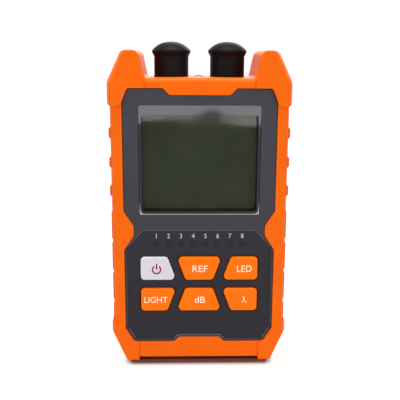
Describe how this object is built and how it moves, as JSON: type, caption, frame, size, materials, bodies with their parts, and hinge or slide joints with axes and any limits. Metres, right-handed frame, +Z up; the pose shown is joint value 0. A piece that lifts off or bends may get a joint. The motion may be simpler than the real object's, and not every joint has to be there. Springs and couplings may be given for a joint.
{
  "type": "optical power meter",
  "caption": "Handheld fibre-optic power meter with screen, keypad, capped optical ports, torch, network test socket and battery bay in a ribbed case on corner feet.",
  "frame": {"origin": "centre of the footprint, at the level of the foot soles", "axes": "+Z up along the case towards the ports, -Y out of the screen, +X to the right as the user faces the screen"},
  "size_m": [0.0666, 0.03, 0.1203],
  "materials": {
    "orange_shell": "fine satin moulded grain",
    "dark_panel": "satin",
    "clear_window": "polished",
    "lcd": "display glass, switched off",
    "backlight": "frosted",
    "key_orange": "satin",
    "key_white": "satin",
    "rubber_black": "soft matt",
    "mat_rubber": "soft matt",
    "board_green": "solder mask",
    "smoked_window": "smoked",
    "nickel": "satin nickel",
    "brass_module": "turned",
    "ceramic": "polished zirconia",
    "lamp_clear": "clear epoxy",
    "socket_black": "moulded",
    "gold_contact": "gold flash",
    "cell_jacket": "printed sleeve without print",
    "spring_steel": "nickel plated",
    "screw_steel": "black zinc"
  },
  "bodies": {
    "case": {"front_case": "orange_shell", "rear_case": "orange_shell", "face_panel": "dark_panel", "lcd_window": "clear_window", "lcd_glass": "lcd", "lcd_backlight": "backlight", "keypad_mat": "mat_rubber", "main_board": "board_green", "detector_port": "nickel", "laser_port": "nickel", "photodiode": "nickel", "ferrule_sleeve": "ceramic", "laser_module": "brass_module", "torch_lamp": "lamp_clear", "network_socket": "socket_black", "socket_contacts": "gold_contact", "case_screws": "screw_steel", "board_screws": "screw_steel", "indicator_lamp_1": "smoked_window", "indicator_lamp_2": "smoked_window", "indicator_lamp_3": "smoked_window", "indicator_lamp_4": "smoked_window", "indicator_lamp_5": "smoked_window", "indicator_lamp_6": "smoked_window", "indicator_lamp_7": "smoked_window", "indicator_lamp_8": "smoked_window", "battery_cell_1": "cell_jacket", "battery_spring_1": "spring_steel", "battery_contact_1": "spring_steel", "battery_cell_2": "cell_jacket", "battery_spring_2": "spring_steel", "battery_contact_2": "spring_steel", "battery_cell_3": "cell_jacket", "battery_spring_3": "spring_steel", "battery_contact_3": "spring_steel"},
    "key_power": {"key_power": "key_white"},
    "key_reference": {"key_reference": "key_orange"},
    "key_torch": {"key_torch": "key_orange"},
    "key_light": {"key_light": "key_orange"},
    "key_unit": {"key_unit": "key_orange"},
    "key_wavelength": {"key_wavelength": "key_orange"},
    "detector_cap": {"detector_cap": "rubber_black"},
    "laser_cap": {"laser_cap": "rubber_black"},
    "battery_door": {"battery_door": "orange_shell"}
  },
  "joints": [
    {"name": "key_power_press", "type": "slide", "parent": "case", "child": "key_power", "axis": [0, 1, 0], "range_m": [0, 0.0006], "stiffness_N_per_m": 800},
    {"name": "key_reference_press", "type": "slide", "parent": "case", "child": "key_reference", "axis": [0, 1, 0], "range_m": [0, 0.0006], "stiffness_N_per_m": 800},
    {"name": "key_torch_press", "type": "slide", "parent": "case", "child": "key_torch", "axis": [0, 1, 0], "range_m": [0, 0.0006], "stiffness_N_per_m": 800},
    {"name": "key_light_press", "type": "slide", "parent": "case", "child": "key_light", "axis": [0, 1, 0], "range_m": [0, 0.0006], "stiffness_N_per_m": 800},
    {"name": "key_unit_press", "type": "slide", "parent": "case", "child": "key_unit", "axis": [0, 1, 0], "range_m": [0, 0.0006], "stiffness_N_per_m": 800},
    {"name": "key_wavelength_press", "type": "slide", "parent": "case", "child": "key_wavelength", "axis": [0, 1, 0], "range_m": [0, 0.0006], "stiffness_N_per_m": 800},
    {"name": "detector_cap_pull", "type": "slide", "parent": "case", "child": "detector_cap", "axis": [0, 0, 1], "range_m": [0, 0.045]},
    {"name": "laser_cap_pull", "type": "slide", "parent": "case", "child": "laser_cap", "axis": [0, 0, 1], "range_m": [0, 0.045]},
    {"name": "battery_door_lift", "type": "hinge", "parent": "case", "child": "battery_door", "pos_m": [0, 0.0143, 0.02335], "axis": [-1, 0, 0], "range_deg": [0, 60]}
  ]
}
